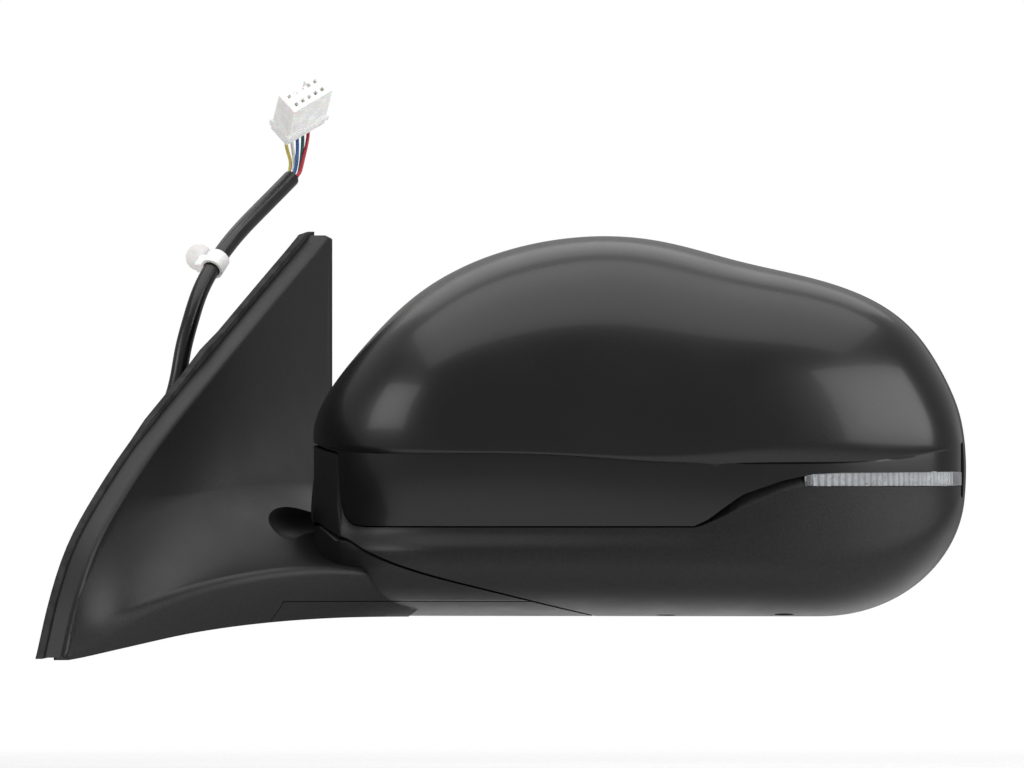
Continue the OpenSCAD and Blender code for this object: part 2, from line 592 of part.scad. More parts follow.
// ---- harness --------------------------------------------------------------------------
sleeve_r = 3.25;
lead_r = 1.8;
sleeve_start = [-6, -22, 2];
sleeve_end = [-34, 79, 132.5];
end_way = unit([0, 21, 11.5]);
sleeve_net = [
    [-8, -22, 2], [-13, -22, 2], [-20.5, -22, 3.5], [-28.5, -22, 8], [-34.5, -21, 15],
    [-38, -18.5, 24], [-38.2, -14, 34], [-36.3, -8.5, 44.5], [-35.5, -4, 55],
    [-36, -0.5, 66], [-35, 4, 77], [-35, 10.5, 88.5], [-34.5, 21, 99], [-34.5, 36.5, 110],
    [-34, 57, 121], sleeve_end - 2*end_way
];
module harness_grommet() color([0.06, 0.06, 0.06]) {
    along_x([0, lead_at[0], lead_at[1]], grommet_r, plate_top);
    along_x([plate_top, lead_at[0], lead_at[1]], grommet_r + 1.5, 2);
    translate([-6, lead_at[0], lead_at[1]]) rotate([0, 90, 0])
        cylinder(r1 = 4.5, r2 = grommet_r, h = 6);
}
module harness_sleeve() color([0.03, 0.03, 0.03])
    tube(concat([sleeve_start], [for (i = [0:22]) spline(sleeve_net, i/22)], [sleeve_end]),
        sleeve_r, 12);
plug_foot = [-31, 79, 153];
// The connector's own axes: along its rows, across them, and up to its mating face
plug_l = [0.443, 0.773, 0.458];
plug_s = [-0.72, 0, 0.69];
plug_u = [0.533, -0.635, 0.557];
module at_plug() multmatrix([for (k = [0:2])
    [plug_l[k], plug_s[k], plug_u[k], plug_foot[k]]]) children();
strand_r = 0.62;
wire_row = unit(plug_l - end_way*(plug_l*end_way));
function wire_start(k) = sleeve_end + wire_row*(k - 2)*1.3
    + cross(end_way, wire_row)*(k%2 == 0 ? -0.6 : 0.6);
function wire_end(k) = plug_foot + plug_l*(k - 2)*2.8;
function wire_net(k) = let (s = wire_start(k), e = wire_end(k))
    [s + end_way*1.5, s + end_way*4, s + end_way*7 + [0, -1, 3],
        e - plug_u*7 + [0, 2, -3], e - plug_u*3, e - plug_u*1.5];
module harness_wires() color([0.75, 0.7, 0.4]) for (k = [0:4])
    tube(concat([wire_start(k)], [for (i = [0:10]) spline(wire_net(k), i/10)], [wire_end(k)]),
        strand_r, 8);
plug_size = [19.2, 9.8, 22.8];
pin_places = [for (i = [-2:2]) for (side = [-1, 1]) [3.2*i, 2.2*side]];
module harness_connector() color([0.93, 0.93, 0.92]) at_plug() difference() {
    union() {
        translate([-plug_size[0]/2, -plug_size[1]/2, 0]) cube(plug_size);
        translate([-plug_size[0]/2 - 0.8, -plug_size[1]/2 - 0.8, 3])
            cube([plug_size[0] + 1.6, plug_size[1] + 1.6, 3]);
    }
    for (p = pin_places) translate([p[0] - 0.8, p[1] - 0.8, 10]) cube([1.6, 1.6, 20]);
    translate([-3, plug_size[1]/2 - 2.2, 14]) cube([6, 5, 20]);
}
module connector_terminals() color([0.8, 0.75, 0.5]) at_plug()
    for (p = pin_places) translate([p[0] - 0.6, p[1] - 0.6, 10]) cube([1.2, 1.2, 8]);
clip_t = 0.8;
clip_at = spline(sleeve_net, clip_t);
clip_way = spline(sleeve_net, clip_t + 0.01) - clip_at;
clip_tilt = atan2(clip_way[1], clip_way[2]);
module harness_clip() color([0.92, 0.92, 0.9]) translate(clip_at) rotate([-clip_tilt, 0, 0]) {
    difference() {
        cylinder(r = 4.6, h = 7, center = true);
        cylinder(r = sleeve_r + 0.25, h = 10, center = true);
    }
    translate([-9, 0, 4]) rotate([clip_tilt, 0, 0]) rotate([90, 0, 30])
        cylinder(r = 5.2, h = 1.6);
    translate([-7.2, -2, -3]) cube([3.2, 4, 6]);
}
// The lead inside the arm: down from the grommet, along the beam, up through the post
function bend(mid, from, to, r) = [for (a = [0:3])
    let (t = mix(from, to, a/3)) [mid[0] + r*cos(t), pivot[1], mid[1] + r*sin(t)]];
lead_bend = 8;
post_bend = 13;
arm_lead_pts = concat([[plate_top + 2, pivot[1], lead_at[1]]],
    bend([plate_top + 3, lead_at[1] - lead_bend], 90, 0, lead_bend),
    bend([plate_top + 3 + 2*lead_bend, -21], 180, 270, lead_bend),
    bend([pivot[0] - post_bend, -29 + post_bend], 270, 360, post_bend),
    [[pivot[0], pivot[1], 0], [pivot[0], pivot[1], 22], [pivot[0], pivot[1], post_top]]);
module arm_lead() color([0.05, 0.05, 0.05]) tube(arm_lead_pts, lead_r, 10);
head_lead_net = [
    [0, 0, post_top + 1.5], [0, 0, 50], [4, 1, 55], [14, 4, 57], [30, 6, 54], [48, 6, 47],
    [62, 5, 41], [glass_mid[0] - unit_r + 0.2, 4.5, 38]
];
module head_lead() color([0.05, 0.05, 0.05]) at_head()
    tube([for (i = [0:14]) spline(head_lead_net, i/14)], lead_r, 10);

sail_cover();
arm_under_cover();
mount_bracket();
door_gasket();
door_studs();
cover_clip_screws();
harness_grommet();
harness_sleeve();
harness_wires();
harness_connector();
connector_terminals();
harness_clip();
arm_lead();
pivot_post();
lower_detent_ring();
pivot_spring();
spring_retainer();
upper_cap();
lower_cover();
pivot_skirt();
glass_bezel();
head_frame();
upper_detent_ring();
head_lead();
turn_signal_lens();
turn_signal_reflector();
turn_signal_board();
actuator_base();
actuator_cover();
vertical_tilt_motor();
horizontal_tilt_motor();
cover_screws();
actuator_screws();
gimbal_ring();
glass_holder();
heater_pad();
mirror_glass();
vertical_jackscrew();
horizontal_jackscrew();
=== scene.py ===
import json
import math

import bmesh
import bpy
import numpy as np
from mathutils import Matrix, Vector


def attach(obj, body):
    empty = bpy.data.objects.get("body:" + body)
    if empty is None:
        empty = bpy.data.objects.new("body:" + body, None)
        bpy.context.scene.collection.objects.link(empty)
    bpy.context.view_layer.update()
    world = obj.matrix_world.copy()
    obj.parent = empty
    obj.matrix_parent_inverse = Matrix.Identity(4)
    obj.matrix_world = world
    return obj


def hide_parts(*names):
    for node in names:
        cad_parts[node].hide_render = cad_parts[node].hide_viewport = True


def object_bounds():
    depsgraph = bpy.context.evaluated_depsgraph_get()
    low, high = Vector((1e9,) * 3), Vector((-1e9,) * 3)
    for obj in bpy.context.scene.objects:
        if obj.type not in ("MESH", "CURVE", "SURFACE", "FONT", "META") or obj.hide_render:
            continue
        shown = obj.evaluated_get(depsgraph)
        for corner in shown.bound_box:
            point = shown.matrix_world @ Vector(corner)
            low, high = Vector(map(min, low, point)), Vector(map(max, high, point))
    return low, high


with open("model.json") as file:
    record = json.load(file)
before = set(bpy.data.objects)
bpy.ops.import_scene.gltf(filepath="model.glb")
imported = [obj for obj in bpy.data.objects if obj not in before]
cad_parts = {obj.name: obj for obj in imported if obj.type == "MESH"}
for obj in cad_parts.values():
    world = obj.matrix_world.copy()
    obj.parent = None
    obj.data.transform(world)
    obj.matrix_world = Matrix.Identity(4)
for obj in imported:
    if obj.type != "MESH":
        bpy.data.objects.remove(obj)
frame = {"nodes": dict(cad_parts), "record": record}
cad_box = [list(corner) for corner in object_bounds()]
MM = 0.001

# ---- camera ----------------------------------------------------------------------------
# The photograph looks from the front and outboard side, level, with a long lens.
VIEW_AZIMUTH = math.radians(30)
FRAME_WIDTH = 0.394  # metres that the picture spans at the aim point
LENS = 1000.0  # mm, on a sensor of SENSOR mm: nearly no perspective
SENSOR = 36.0
CLIP_END = 100
RIGHT = Vector((math.cos(VIEW_AZIMUTH), math.sin(VIEW_AZIMUTH), 0))
TOWARDS = Vector((math.sin(VIEW_AZIMUTH), -math.cos(VIEW_AZIMUTH), 0))
AIM = RIGHT * 0.0962 + TOWARDS * 0.055 + Vector((0, 0, 0.0524))


def new_object(name, data):
    o = bpy.data.objects.new(name, data)
    bpy.context.scene.collection.objects.link(o)
    return o


def make_camera():
    data = bpy.data.cameras.new("Camera")
    data.lens = LENS
    data.sensor_width = SENSOR
    data.clip_end = CLIP_END
    camera = new_object("Camera", data)
    camera.location = AIM + TOWARDS * (FRAME_WIDTH * LENS / SENSOR)
    camera.rotation_euler = TOWARDS.to_track_quat("Z", "Y").to_euler()
    bpy.context.scene.camera = camera


make_camera()


# ---- curves, as in the CAD source ------------------------------------------------------
def spline(control, t):
    """Uniform cubic B-spline with mirrored ends, for one t or an array of them."""
    c = np.array(control, float)
    c = np.concatenate([[2 * c[0] - c[1]], c, [2 * c[-1] - c[-2]]])
    t = np.clip(np.asarray(t, float), 0, 1)
    n = len(c) - 3
    s = t * n
    i = np.minimum(np.floor(s).astype(int), n - 1)
    f = s - i
    weights = [
        (1 - f) ** 3,
        3 * f**3 - 6 * f * f + 4,
        -3 * f**3 + 3 * f * f + 3 * f + 1,
        f**3,
    ]
    if c.ndim > 1:
        weights = [np.asarray(w)[..., None] for w in weights]
    return sum(weights[k] * c[i + k] for k in range(4)) / 6


def round_off(x):
    """1 at 0, falling to 0 at 1 along a quarter of a superellipse."""
    x = np.clip(x, 0, 1)
    return (1 - x**2.5) ** 0.4


def mix(a, b, t):
    return a + (b - a) * t


# ---- mesh helpers ----------------------------------------------------------------------
# Head coordinates start at the folding post, with x along the head.
PIVOT = Vector((64, -22, 0)) * MM
SWEEP = math.radians(20)
HEAD = Matrix.Translation(PIVOT) @ Matrix.Rotation(SWEEP, 4, "Z")


def mesh_from(name, verts, faces, place=None, sharp=None):
    """An object from points in millimetres, shaded smooth with edges over `sharp` degrees kept."""
    mesh = bpy.data.meshes.new(name)
    points = [Vector(v) * MM for v in verts]
    if place is not None:
        points = [place @ p for p in points]
    mesh.from_pydata(points, [], [tuple(int(k) for k in f) for f in faces])
    bm = bmesh.new()
    bm.from_mesh(mesh)
    bmesh.ops.remove_doubles(bm, verts=bm.verts, dist=1e-6)
    bmesh.ops.dissolve_degenerate(bm, edges=bm.edges, dist=1e-7)
    bmesh.ops.recalc_face_normals(bm, faces=bm.faces)
    bm.to_mesh(mesh)
    bm.free()
    o = new_object(name, mesh)
    if sharp is not None:
        smooth(o, sharp)
    return o


def smooth(o, angle):
    """Shades an object smooth, with edges over `angle` degrees kept sharp."""
    o.data.polygons.foreach_set("use_smooth", [True] * len(o.data.polygons))
    bm = bmesh.new()
    bm.from_mesh(o.data)
    limit = math.radians(angle)
    for e in bm.edges:
        e.smooth = not (len(e.link_faces) == 2 and e.calc_face_angle(0) > limit)
    bm.to_mesh(o.data)
    bm.free()


def grid_faces(n, m, offset=0, flip=False):
    faces = []
    for i in range(n - 1):
        for j in range(m - 1):
            a = offset + i * m + j
            quad = [a, a + m, a + m + 1, a + 1]
            faces.append(quad[::-1] if flip else quad)
    return faces


def skin(name, outer, inner, sharp=32):
    """A wall between two grids of points, closed around its four borders."""
    n, m = outer.shape[:2]
    size = n * m
    faces = grid_faces(n, m) + grid_faces(n, m, size, True)
    for i in range(n - 1):
        for j in (0, m - 1):
            a = i * m + j
            faces.append([a, a + m, size + a + m, size + a])
    for j in range(m - 1):
        for i in (0, n - 1):
            a = i * m + j
            faces.append([a, a + 1, size + a + 1, size + a])
    verts = np.concatenate([outer.reshape(-1, 3), inner.reshape(-1, 3)])
    return mesh_from(name, verts, faces, HEAD, sharp)


def loft(name, rings, place=None, sharp=None):
    """A solid through closed rings of equal length, with flat ends."""
    rings = np.array(rings, float)
    n, m = rings.shape[:2]
    faces = []
    for i in range(n - 1):
        for j in range(m):
            k = (j + 1) % m
            faces.append([i * m + j, (i + 1) * m + j, (i + 1) * m + k, i * m + k])
    faces += [list(range(m))[::-1], [(n - 1) * m + j for j in range(m)]]
    return mesh_from(name, rings.reshape(-1, 3), faces, place, sharp)


def extruded(name, outline, low, high):
    """An upright slab from an outline of (x, y) points."""
    return loft(name, [[(x, y, z) for x, y in outline] for z in (low, high)])


def revolved(name, profile, steps=192, place=None):
    """A solid of revolution about z from (r, z) points that start and end on the axis."""
    rings = []
    for k in range(steps):
        a = 2 * math.pi * k / steps
        rings.append([(r * math.cos(a), r * math.sin(a), z) for r, z in profile])
    m = len(profile)
    faces = []
    for k in range(steps):
        for j in range(m - 1):
            a, b = k * m + j, ((k + 1) % steps) * m + j
            faces.append([a, b, b + 1, a + 1])
    return mesh_from(name, np.array(rings).reshape(-1, 3), faces, place)


def boolean(base, tools, operation):
    """Applies exact booleans to base and removes the tools."""
    for tool in tools:
        cut = base.modifiers.new("cut", "BOOLEAN")
        cut.operation = operation
        cut.solver = "EXACT"
        cut.object = tool
    bpy.context.view_layer.update()
    depsgraph = bpy.context.evaluated_depsgraph_get()
    result = bpy.data.meshes.new_from_object(base.evaluated_get(depsgraph))
    base.modifiers.clear()
    old = base.data
    base.data = result
    result.name = base.name
    bpy.data.meshes.remove(old)
    for tool in tools:
        bpy.data.objects.remove(tool)
    bm = bmesh.new()
    bm.from_mesh(base.data)
    bmesh.ops.remove_doubles(bm, verts=bm.verts, dist=2e-6)
    bmesh.ops.dissolve_degenerate(bm, edges=bm.edges, dist=1e-6)
    bm.to_mesh(base.data)
    bm.free()
    return base


# ---- the head's form -------------------------------------------------------------------
# Lengths are in mm. u runs along the head, w forwards from its post, and z up.
WALL = 2.5
PARTING = 1.2  # gap between the head and the foot
U0, U1 = -27, 224
RIM_W = -26
SEAM_Z = -2
FLOOR_Z = -37
HEAD_MID = np.array([100, RIM_W, 22], float)
DRAW_SPANS = np.array([128, 80, 60], float)  # a wall is drawn in over these lengths
TOP_NET = [
    (-27, 30), (-26.5, 38), (-21, 51), (-5, 70), (14, 90), (42, 104), (76, 110.5),
    (106, 108.5), (136, 99), (166, 93.5), (190, 85), (206, 72.5), (216.5, 55),
    (222.5, 41), (224, 29),
]
CREASE_NET = [31, 26, 26, 26, 26, 25, 23, 22, 22, 22, 23, 28]
FULL_DEPTH = 80
DEPTH_NET = [FULL_DEPTH, 81, 82, 81, 78, 73, 68, 62, 56, 50, 44]
LIP_NET = [2, 3, 2, 1, 1, 1, 2, 4, 8, 9, 6, 1]
LIP_TURN = math.radians(60)
LENS_LOW = 13  # where the lens's slot starts in the lower cover
RIDGE_RISE = 25  # height of the ridge of the lower cover over its underside
ROUND_US = (50, 128)  # where the rounding towards the two ends starts
BOTTOM_FROM, BOTTOM_END_Z = 168, 12  # the underside curves up from here to this height
BEVEL_US = (128, 171)  # the sloping edge that rises to the lens
CAP_EDGE = [
    (-27, 30.6), (-9, 26), (-8.4, 6), (-6.5, 1), (-3, -1.4), (2, SEAM_Z), (130, SEAM_Z),
    (135, 0.5), (148, 10), (163, 15.4), (174, 17.9), (182, 18.4), (U1, 18.8),
]
COVER_EDGE = [
    (-27, 28.8), (-9, 25.2), (-8.4, 5.4), (-6.5, 0.4), (-3, -2), (2, SEAM_Z - 0.6),
    (131, SEAM_Z - 0.6), (166, 12.4), (170, LENS_LOW), (U1, LENS_LOW),
]


def lookup(u, table):
    """Straight-line lookup in a table of pairs."""
    return np.interp(u, [p[0] for p in table], [p[1] for p in table])


def along(u):
    """Share of the head's length."""
    return (u - U0) / (U1 - U0)


def crease_z(u):
    return spline(CREASE_NET, along(u))


def depth(u):
    """Depth of the head in front of its rim, rounded off over both ends."""
    inboard = round_off((ROUND_US[0] - u) / (ROUND_US[0] - U0))
    outboard = round_off((u - ROUND_US[1]) / (U1 - ROUND_US[1]))
    return spline(DEPTH_NET, along(u)) * inboard * outboard


def bottom_z(u):
    if u < BOTTOM_FROM:
        return FLOOR_Z
    share = (u - BOTTOM_FROM) / (U1 - BOTTOM_FROM)
    return BOTTOM_END_Z - (BOTTOM_END_Z - FLOOR_Z) * math.sqrt(max(0, 1 - share**2))


def face_w(u, z):
    """The front face under the crease, which falls back slightly on its way down."""
    below = np.maximum(crease_z(u) - z, 0)
    return RIM_W + depth(u) * (1 - (2.2 + 0.0055 * below**2) / FULL_DEPTH)


def cap_section(u, zt, na, nb):
    """(w, z) from the top at zt over the dome and the lip under it, and down the front face."""
    d = float(depth(u))
    zc = min(float(crease_z(u)), zt - 0.4)
    lip = min(float(spline(LIP_NET, along(u))), (zt - zc) * 0.3)
    zf = zc + lip
    ze = min(float(lookup(u, CAP_EDGE)), zc - 0.4)
    points = []
    for j in range(na + 1):
        a = math.radians(90 * j / na)
        points.append((RIM_W + d * math.sin(a) ** 0.9,
                       zf + (zt - zf) * max(math.cos(a), 0) ** 0.9))
    for j in range(1, 7):
        a = LIP_TURN * j / 6
        points.append((RIM_W + d - 0.8 * lip * (1 - math.cos(a)) * d / FULL_DEPTH,
                       zf - lip * math.sin(a) / math.sin(LIP_TURN)))
    for j in range(nb + 1):
        z = mix(zc - 0.3, ze, j / nb)
        points.append((float(face_w(u, z)), z))
    return points


def cover_section(u, na, nb):
    """(w, z) from the upper edge down to the ridge at zr, and round to the underside at zb."""
    d = float(depth(u))
    zb = bottom_z(u)
    ze = max(float(lookup(u, COVER_EDGE)), zb + 0.6)
    zr = zb + (ze - zb) * RIDGE_RISE / (min(ze, LENS_LOW) - FLOOR_Z)
    wr = RIM_W + 0.965 * d
    we = float(face_w(u, ze)) - 0.2
    bevel = BEVEL_US[0] < u < BEVEL_US[1]
    top = float(lookup(u, CAP_EDGE)) + 1 if bevel else ze + 0.1
    points = [(we - (4 if bevel else 0.8) * d / FULL_DEPTH, top)]
    for j in range(na + 1):
        t = j / na
        points.append((mix(we, wr, t * t * (3 - 2 * t)), mix(ze, zr, t)))
    for j in range(1, nb + 1):
        a = math.radians(90 * j / nb)
        c, s = max(math.cos(a), 0), math.sin(a)
        points.append((RIM_W + (wr - RIM_W) * c**0.77, zr - (zr - zb) * s**0.77))
    return points


def rows(us, sections):
    """Sections at each u as points in head coordinates, where -y is forwards."""
    return np.array([[(u, -w, z) for w, z in s] for u, s in zip(us, sections)])


def shrunk(r):
    """Points drawn in towards the head's middle by about a wall."""
    mid = HEAD_MID * np.array([1, -1, 1])
    return mid + (r - mid) * (1 - WALL / DRAW_SPANS)


SECTIONS = 150
END_CUT = 0.006  # share of the outline left off at each end
TOPS = spline(TOP_NET, END_CUT + (1 - 2 * END_CUT) * np.linspace(0, 1, SECTIONS))
HEAD_US = TOPS[:, 0]
COVER_SECTIONS = [cover_section(u, 14, 24) for u in HEAD_US]
COVER_ROWS = rows(HEAD_US, COVER_SECTIONS)
COVER_RINGS = rows(HEAD_US, [s[1:] + [(RIM_W, s[1][1])] for s in COVER_SECTIONS])

FLAT_R, CONE_TOP, CONE_SLOPE, CONE_REACH = 25, -1.5, 0.6, 90
SEAT_R, SEAT_ROUND, SEAT_TOP = 41.5, 10, 140


def cone_z(r):
    """Height of the parting between head and foot, at a distance from the post."""
    return CONE_TOP - CONE_SLOPE * max(0, r - FLAT_R)


def below_parting(h):
    """The space under the parting, raised by h."""
    profile = [
        (0, -60), (CONE_REACH, -60), (CONE_REACH, cone_z(CONE_REACH) + h),
        (FLAT_R, CONE_TOP + h), (0, CONE_TOP + h),
    ]
    return revolved("parting", profile)


def seat_space(h):
    """The space that the head turns in over the foot, grown by h."""
    profile = [(0, SEAT_TOP), (0, CONE_TOP - h), (FLAT_R, CONE_TOP - h)]
    for k in range(13):
        a = math.radians(7.5 * k)
        profile.append((SEAT_R + h - SEAT_ROUND * (1 - math.sin(a)),
                        cone_z(SEAT_R - SEAT_ROUND * 0.7) - h + SEAT_ROUND * (1 - math.cos(a))))
    return revolved("seat", profile + [(SEAT_R + h, SEAT_TOP)])


def seat_trim():
    """What is cut off the bezel's inner end so that it turns inside the arm's seat."""
    square = [(-60, 0), (0, 0), (0, 60), (-60, 60)]
    quarter = extruded("quarter", square, -60, SEAT_TOP - 1)
    disc = revolved("disc", [(0, -60), (SEAT_R + 1, -60), (SEAT_R + 1, 4), (0, 4)])
    return boolean(boolean(quarter, [disc], "UNION"), [seat_space(-PARTING / 2)], "DIFFERENCE")


# ---- materials -------------------------------------------------------------------------
def material(name, **sockets):
    """A new material, its node tree and its shader, with plain values on the shader's sockets."""
    m = bpy.data.materials.new(name)
    m.use_nodes = True
    shader = m.node_tree.nodes["Principled BSDF"]
    for key, value in sockets.items():
        shader.inputs[key.replace("_", " ")].default_value = value
    return m, m.node_tree, shader


RAMP_ENDS = (0.35, 0.65)  # a noise texture hardly leaves this range


def noise(tree, scale, detail=4.0, rough=0.55):
    """A noise texture over object coordinates, with its scale in cycles per metre."""
    coords = tree.nodes.new("ShaderNodeTexCoord")
    node = tree.nodes.new("ShaderNodeTexNoise")
    node.inputs["Scale"].default_value = scale
    node.inputs["Detail"].default_value = detail
    node.inputs["Roughness"].default_value = rough
    tree.links.new(coords.outputs["Object"], node.inputs["Vector"])
    return node.outputs["Fac"]


def ramp(tree, source, low, high):
    """Maps a 0 to 1 value to a range of values or colours."""
    node = tree.nodes.new("ShaderNodeValToRGB")
    for element, position, value in zip(node.color_ramp.elements, RAMP_ENDS, (low, high)):
        element.position = position
        element.color = value if hasattr(value, "__len__") else (value, value, value, 1)
    tree.links.new(source, node.inputs["Fac"])
    return node.outputs["Color"]


def bump(tree, shader, height, distance, strength, below=None):
    """Adds a bump over the bump below it, if there is one."""
    node = tree.nodes.new("ShaderNodeBump")
    node.inputs["Distance"].default_value = distance
    node.inputs["Strength"].default_value = strength
    tree.links.new(height, node.inputs["Height"])
    if below is not None:
        tree.links.new(below, node.inputs["Normal"])
    tree.links.new(node.outputs["Normal"], shader.inputs["Normal"])
    return node.outputs["Normal"]


def grey(v, tint=(1, 1, 1)):
    return (v * tint[0], v * tint[1], v * tint[2], 1)


GRAIN_DEPTH = 0.05 * MM


def grained_plastic(name, low, high, rough=(0.5, 0.66), grain=2600):
    """Moulded plastic with a fine leather-like grain and slight handling marks."""
    m, tree, shader = material(name, Specular_IOR_Level=0.32)
    tree.links.new(ramp(tree, noise(tree, 900, 3), low, high), shader.inputs["Base Color"])
    tree.links.new(ramp(tree, noise(tree, 35, 6), *rough), shader.inputs["Roughness"])
    coarse = bump(tree, shader, noise(tree, grain * 0.35, 3), GRAIN_DEPTH, 0.6)
    bump(tree, shader, noise(tree, grain, 2), GRAIN_DEPTH, 0.9, coarse)
    return m


def gloss_black():
    """Satin to gloss black paint with the faint waviness of a moulded part."""
    m, tree, shader = material(
        "gloss_black", Base_Color=grey(0.004), Coat_Weight=0.14, Coat_Roughness=0.08,
        Specular_IOR_Level=0.38,
    )
    tree.links.new(
        ramp(tree, noise(tree, 18, 8, 0.6), 0.24, 0.32), shader.inputs["Roughness"]
    )
    bump(tree, shader, noise(tree, 22, 2), 0.12 * MM, 0.25)
    return m


def metal(name, colour, rough, streak=900):
    """Metal with fine marks of working in its colour, roughness and surface."""
    m, tree, shader = material(name, Metallic=1.0)
    tree.links.new(
        ramp(tree, noise(tree, 150, 5), grey(0.8, colour), grey(1.0, colour)),
        shader.inputs["Base Color"],
    )
    tree.links.new(ramp(tree, noise(tree, streak, 3), *rough), shader.inputs["Roughness"])
    bump(tree, shader, noise(tree, streak, 4), 0.02 * MM, 0.5)
    return m


def soft(name, low, high, rough=(0.7, 0.9), grain=1500, depth_mm=0.12):
    """Foam, rubber, film or board: dull, with a small irregular grain."""
    m, tree, shader = material(name, Specular_IOR_Level=0.3)
    tree.links.new(ramp(tree, noise(tree, 200), low, high), shader.inputs["Base Color"])
    tree.links.new(ramp(tree, noise(tree, 120), *rough), shader.inputs["Roughness"])
    bump(tree, shader, noise(tree, grain, 5), depth_mm * MM, 0.8)
    return m


def sleeve_material():
    """Shiny black vinyl, slightly wrinkled."""
    m, tree, shader = material("sleeve", Specular_IOR_Level=0.5)
    tree.links.new(
        ramp(tree, noise(tree, 90), grey(0.004), grey(0.009)), shader.inputs["Base Color"]
    )
    tree.links.new(ramp(tree, noise(tree, 70, 5), 0.2, 0.34), shader.inputs["Roughness"])
    bump(tree, shader, noise(tree, 160, 3), 0.15 * MM, 0.5)
    return m


def coloured_plastic(name, colour, rough=(0.35, 0.5), translucent=0.0):
    """Smooth plastic or wire insulation, slightly mottled."""
    m, tree, shader = material(name, Subsurface_Weight=translucent)
    shader.inputs["Subsurface Scale"].default_value = 0.8 * MM
    tree.links.new(
        ramp(tree, noise(tree, 240), grey(0.88, colour), grey(1.0, colour)),
        shader.inputs["Base Color"],
    )
    tree.links.new(ramp(tree, noise(tree, 300), *rough), shader.inputs["Roughness"])
    bump(tree, shader, noise(tree, 1800, 3), 0.015 * MM, 0.5)
    return m


def clear_lens():
    m, tree, shader = material(
        "clear_lens", Base_Color=(0.93, 0.95, 0.97, 1), Transmission_Weight=0.92,
        IOR=1.49, Coat_Weight=0.3,
    )
    tree.links.new(ramp(tree, noise(tree, 200), 0.03, 0.08), shader.inputs["Roughness"])
    return m


def silvering():
    """The bright moulded reflector behind the lens."""
    m, tree, shader = material("silvering", Metallic=0.25)
    tree.links.new(
        ramp(tree, noise(tree, 120), grey(0.86), grey(0.97)), shader.inputs["Base Color"]
    )
    tree.links.new(ramp(tree, noise(tree, 500), 0.25, 0.35), shader.inputs["Roughness"])
    return m


def mirror_silver():
    m, tree, shader = material("mirror", Metallic=1.0, Coat_Weight=0.5, Coat_Roughness=0.01)
    tree.links.new(
        ramp(tree, noise(tree, 9), grey(0.82), grey(0.88)), shader.inputs["Base Color"]
    )
    tree.links.new(ramp(tree, noise(tree, 14, 6), 0.012, 0.03), shader.inputs["Roughness"])
    return m


# One for each material slot of the record
MATERIALS = {
    "grained_black": grained_plastic(
        "grained_black", grey(0.007), grey(0.011), (0.36, 0.43)
    ),
    "inner_plastic": grained_plastic("inner_plastic", grey(0.03), grey(0.05), grain=900),
    "gloss_black": gloss_black(),
    "cast_bracket": metal("cast_bracket", (0.62, 0.62, 0.63), (0.45, 0.65), 1400),
    "plated_steel": metal("plated_steel", (0.66, 0.62, 0.52), (0.2, 0.4)),
    "post_steel": metal("post_steel", (0.5, 0.5, 0.52), (0.25, 0.4)),
    "spring_steel": metal("spring_steel", (0.32, 0.32, 0.33), (0.25, 0.4)),
    "motor": metal("motor", (0.6, 0.6, 0.62), (0.3, 0.45)),
    "terminals": metal("terminals", (0.8, 0.68, 0.42), (0.2, 0.35)),
    "foam": soft("foam", grey(0.012), grey(0.03)),
    "rubber": soft("rubber", grey(0.012), grey(0.02), (0.5, 0.7), 900, 0.05),
    "sleeve": sleeve_material(),
    "wires": coloured_plastic("wires", (0.7, 0.62, 0.25)),
    "white_plastic": coloured_plastic("white_plastic", (0.97, 0.97, 0.95), (0.4, 0.55), 0.3),
    "heater": soft("heater", grey(0.12, (1, 0.5, 0.35)), grey(0.18, (1, 0.5, 0.35))),
    "mirror": mirror_silver(),
    "clear_lens": clear_lens(),
    "silvering": silvering(),
    "board": soft("board", (0.01, 0.12, 0.05, 1), (0.02, 0.18, 0.07, 1), (0.35, 0.5)),
}
WIRES = {  # insulation colours, in order along the plug
    "yellow": (0.62, 0.52, 0.13),
    "white": (0.8, 0.8, 0.78),
    "blue": (0.03, 0.13, 0.38),
    "teal": (0.012, 0.1, 0.1),
    "red": (0.45, 0.02, 0.04),
}


def finish_piece(o, body, slot, *nodes, paint=None):
    """Paints a piece, lets it ride on its body and hides the CAD nodes that it stands for."""
    o.data.materials.clear()
    o.data.materials.append(paint or MATERIALS[slot])
    o.data.polygons.foreach_set("material_index", [0] * len(o.data.polygons))
    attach(o, body)
    if nodes:
        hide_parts(*nodes)
    return o


# ---- harness: the declared cord and what is on it --------------------------------------
SLEEVE_R, WIRE_R = 3.25, 0.68
WIRE_GAP, PIN_GAP, ROW_HALF = 1.3, 2.8, 0.6  # between wires in the sleeve, at the plug, rows
SLEEVE_START = np.array([-6, -22, 2.0])
SLEEVE_END = np.array([-34, 79, 132.5])
END_WAY = np.array([0, 21, 11.5]) / math.hypot(21, 11.5)
SLEEVE_NET = [
    (-8, -22, 2), (-13, -22, 2), (-20.5, -22, 3.5), (-28.5, -22, 8), (-34.5, -21, 15),
    (-38, -18.5, 24), (-38.2, -14, 34), (-36.3, -8.5, 44.5), (-35.5, -4, 55),
    (-36, -0.5, 66), (-35, 4, 77), (-35, 10.5, 88.5), (-34.5, 21, 99), (-34.5, 36.5, 110),
    (-34, 57, 121), tuple(SLEEVE_END - 2 * END_WAY),
]
PLUG_FOOT = np.array([-31, 79, 153])
PLUG_L = np.array([0.443, 0.773, 0.458])  # along the plug's row of pins
PLUG_U = np.array([0.533, -0.635, 0.557])  # away from its wires


def unit(v):
    return np.array(v, float) / np.linalg.norm(v)


